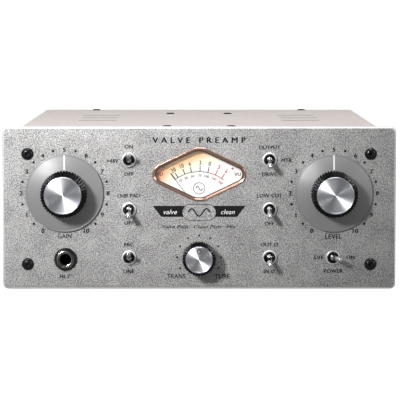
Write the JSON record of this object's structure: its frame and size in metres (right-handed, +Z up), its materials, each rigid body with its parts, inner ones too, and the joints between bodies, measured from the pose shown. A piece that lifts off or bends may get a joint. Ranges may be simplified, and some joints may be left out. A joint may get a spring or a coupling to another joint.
{
  "type": "microphone preamp",
  "caption": "Half-rack microphone preamp: hammered grey panel with two large dials, blend knob, toggle switches, instrument jack and a diamond meter on a vented steel case.",
  "frame": {"origin": "on the table, under the middle of the whole object", "axes": "+Z up, front panel faces -Y, +X to the right seen from the front"},
  "size_m": [0.2134, 0.3076, 0.0886],
  "materials": {
    "panel_paint": "hammered silver-grey paint",
    "case_paint": "fine light grey paint",
    "spun_aluminium": "lathe-turned rings",
    "knurled_black": "black anodised, knurled",
    "chrome": "bright",
    "black_oxide": "black oxide",
    "copper_trim": "rose-tinted bright plating",
    "clear_window": "clear polished acrylic",
    "dial_card": "printed card",
    "needle_black": "matt black",
    "black_plastic": "moulded nylon",
    "lamp_glass": "warm lamp glass",
    "pot_steel": "zinc plated",
    "switch_body": "moulded phenolic",
    "socket_zinc": "black-plated zinc casting",
    "latch_steel": "stamped and plated",
    "foot_rubber": "moulded",
    "board_laminate": "solder-masked glass epoxy",
    "transformer_wrap": "polyester tape",
    "capacitor_sleeve": "shrink sleeve",
    "valve_glass": "clear blown glass",
    "valve_ceramic": "unglazed"
  },
  "bodies": {
    "case": {"front_panel": "panel_paint", "chassis_tray": "case_paint", "top_cover": "case_paint", "rear_panel": "case_paint", "toggle_nuts": "chrome", "panel_screws": "black_oxide", "cover_screws": "black_oxide", "jack_nut": "black_oxide", "connector_screws": "black_oxide", "meter_bezel": "copper_trim", "meter_window": "clear_window", "meter_dial": "dial_card", "meter_case": "black_plastic", "jack_socket": "black_plastic", "mains_inlet": "black_plastic", "meter_lamps": "lamp_glass", "gain_pot": "pot_steel", "level_pot": "pot_steel", "blend_pot": "pot_steel", "pot_nuts": "pot_steel", "transformer_bolt": "pot_steel", "standoffs": "pot_steel", "phantom_switch": "switch_body", "pad_switch": "switch_body", "input_switch": "switch_body", "meter_switch": "switch_body", "low_cut_switch": "switch_body", "polarity_switch": "switch_body", "power_switch": "switch_body", "mic_input": "socket_zinc", "line_input": "socket_zinc", "line_output": "socket_zinc", "rubber_feet": "foot_rubber", "main_board": "board_laminate", "power_transformer": "transformer_wrap", "capacitors": "capacitor_sleeve", "preamp_valve": "valve_glass", "valve_socket": "valve_ceramic"},
    "gain_knob": {"gain_skirt": "spun_aluminium", "gain_grip": "knurled_black", "gain_cap": "spun_aluminium", "gain_shaft": "pot_steel"},
    "level_knob": {"level_skirt": "spun_aluminium", "level_grip": "knurled_black", "level_cap": "spun_aluminium", "level_shaft": "pot_steel"},
    "blend_knob": {"blend_grip": "knurled_black", "blend_cap": "spun_aluminium", "blend_shaft": "pot_steel"},
    "needle": {"meter_needle": "needle_black"},
    "mic_latch": {"mic_latch": "latch_steel"},
    "line_latch": {"line_latch": "latch_steel"},
    "fuse_drawer": {"fuse_drawer": "black_plastic"},
    "phantom_lever": {"phantom_lever": "chrome"},
    "pad_lever": {"pad_lever": "chrome"},
    "input_lever": {"input_lever": "chrome"},
    "meter_lever": {"meter_lever": "chrome"},
    "low_cut_lever": {"low_cut_lever": "chrome"},
    "polarity_lever": {"polarity_lever": "chrome"},
    "power_lever": {"power_lever": "chrome"}
  },
  "joints": [
    {"name": "gain_turn", "type": "hinge", "parent": "case", "child": "gain_knob", "pos_m": [-0.0729, -0.13125, 0.0526], "axis": [0, 1, 0], "range_deg": [-150, 150]},
    {"name": "level_turn", "type": "hinge", "parent": "case", "child": "level_knob", "pos_m": [0.0729, -0.13125, 0.0526], "axis": [0, 1, 0], "range_deg": [-150, 150]},
    {"name": "blend_turn", "type": "hinge", "parent": "case", "child": "blend_knob", "pos_m": [0, -0.13125, 0.0177], "axis": [0, 1, 0], "range_deg": [-150, 150]},
    {"name": "needle_swing", "type": "hinge", "parent": "case", "child": "needle", "pos_m": [0, -0.1282, 0.0423], "axis": [0, 1, 0], "range_deg": [0, 73], "stiffness_Nm_per_rad": 0.0002, "springref_deg": -17.19},
    {"name": "phantom_flip", "type": "hinge", "parent": "case", "child": "phantom_lever", "pos_m": [-0.0381, -0.13165, 0.0707], "axis": [1, 0, 0], "range_deg": [0, 26]},
    {"name": "pad_flip", "type": "hinge", "parent": "case", "child": "pad_lever", "pos_m": [-0.0381, -0.13165, 0.0437], "axis": [1, 0, 0], "range_deg": [-26, 0]},
    {"name": "input_flip", "type": "hinge", "parent": "case", "child": "input_lever", "pos_m": [-0.0381, -0.13165, 0.0177], "axis": [1, 0, 0], "range_deg": [0, 26]},
    {"name": "meter_flip", "type": "hinge", "parent": "case", "child": "meter_lever", "pos_m": [0.0381, -0.13165, 0.0707], "axis": [1, 0, 0], "range_deg": [-26, 0]},
    {"name": "low_cut_flip", "type": "hinge", "parent": "case", "child": "low_cut_lever", "pos_m": [0.0381, -0.13165, 0.0437], "axis": [1, 0, 0], "range_deg": [-26, 0]},
    {"name": "polarity_flip", "type": "hinge", "parent": "case", "child": "polarity_lever", "pos_m": [0.0381, -0.13165, 0.0177], "axis": [1, 0, 0], "range_deg": [-26, 0]},
    {"name": "power_flip", "type": "hinge", "parent": "case", "child": "power_lever", "pos_m": [0.0726, -0.13165, 0.0177], "axis": [0, 0, 1], "range_deg": [-26, 0]},
    {"name": "mic_latch_press", "type": "slide", "parent": "case", "child": "mic_latch", "axis": [0, 0, -1], "range_m": [0, 0.0012], "stiffness_N_per_m": 400, "springref_m": -0.0005},
    {"name": "line_latch_press", "type": "slide", "parent": "case", "child": "line_latch", "axis": [0, 0, -1], "range_m": [0, 0.0012], "stiffness_N_per_m": 400, "springref_m": -0.0005},
    {"name": "fuse_drawer_slide", "type": "slide", "parent": "case", "child": "fuse_drawer", "axis": [0, 1, 0], "range_m": [0, 0.018]}
  ]
}
